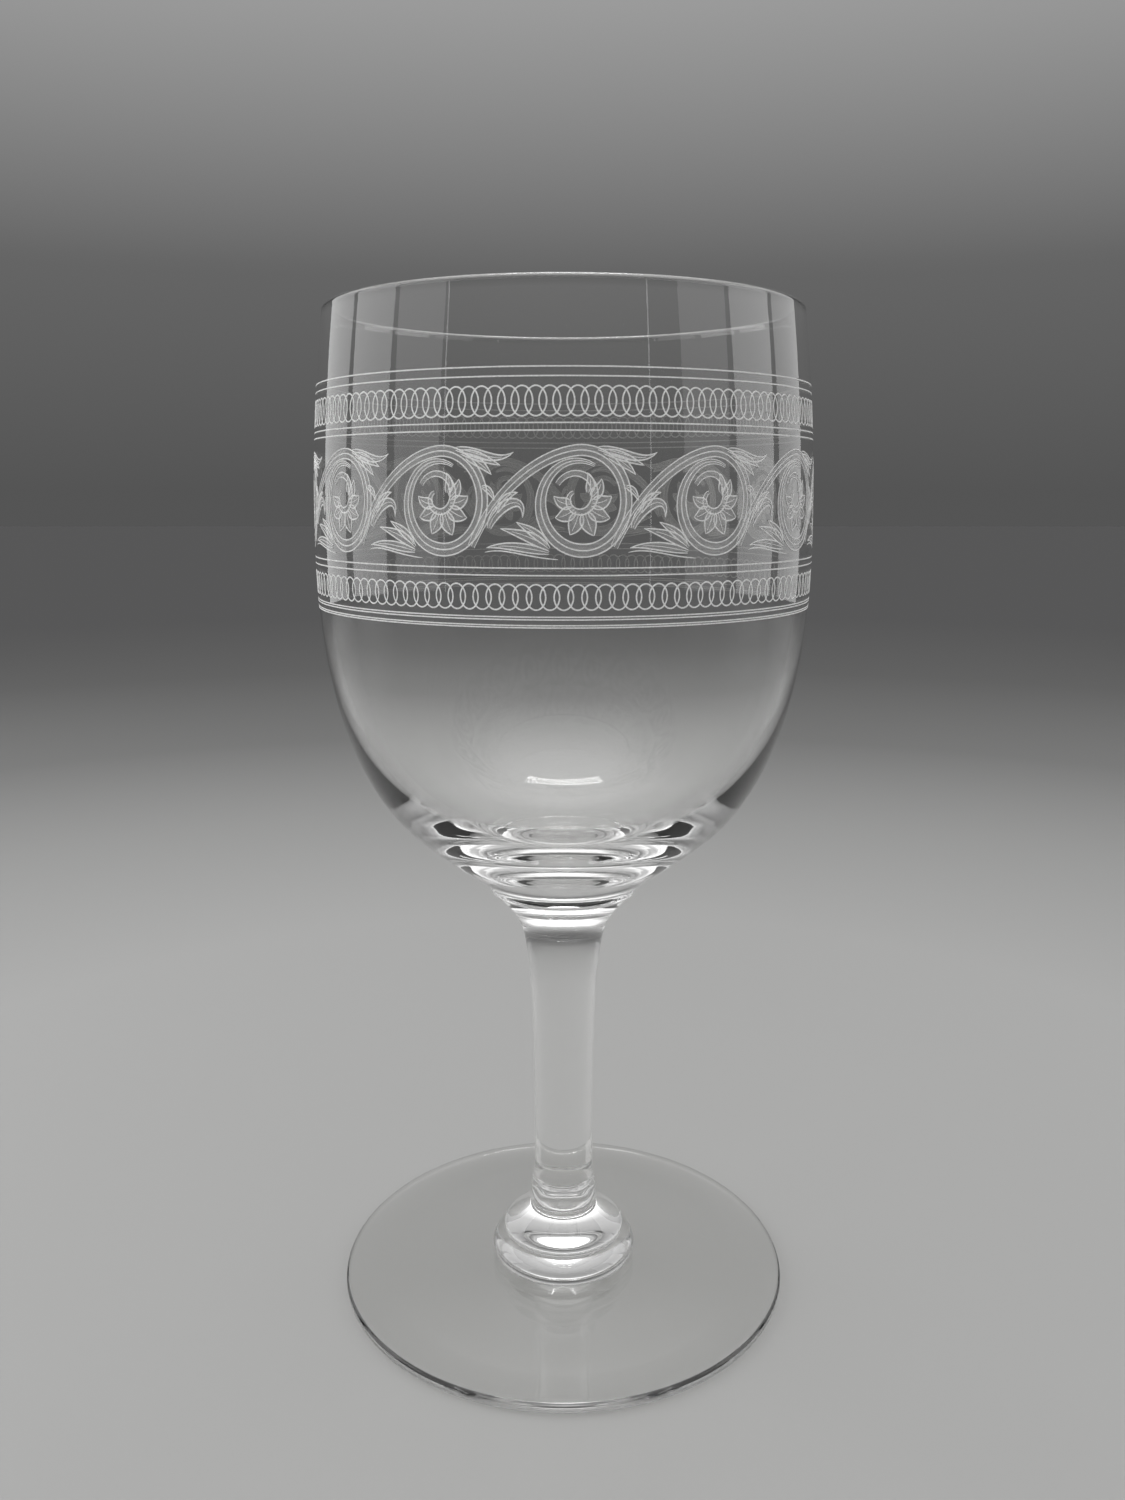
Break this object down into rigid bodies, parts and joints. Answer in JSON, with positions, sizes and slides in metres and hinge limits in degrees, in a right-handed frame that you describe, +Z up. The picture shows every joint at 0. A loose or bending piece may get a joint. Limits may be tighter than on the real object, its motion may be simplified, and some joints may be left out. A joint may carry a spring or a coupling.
{
  "type": "wine glass",
  "caption": "Stemmed wine glass in clear crystal with a deep rounded bowl, a short turned stem and a flat round foot.",
  "frame": {"origin": "on the table, at the middle of the underside of the foot", "axes": "+Z up along the axis of the stem and bowl; the glass is turned, so X and Y are alike"},
  "size_m": [0.0664, 0.0664, 0.1393],
  "materials": {
    "crystal": "polished clear crystal",
    "etched_crystal": "acid-etched frosted"
  },
  "bodies": {
    "root": {"foot": "crystal", "foot_boss": "crystal", "knop": "crystal", "stem_bead": "crystal", "stem": "crystal", "collar": "crystal", "bowl": "crystal"}
  },
  "joints": []
}
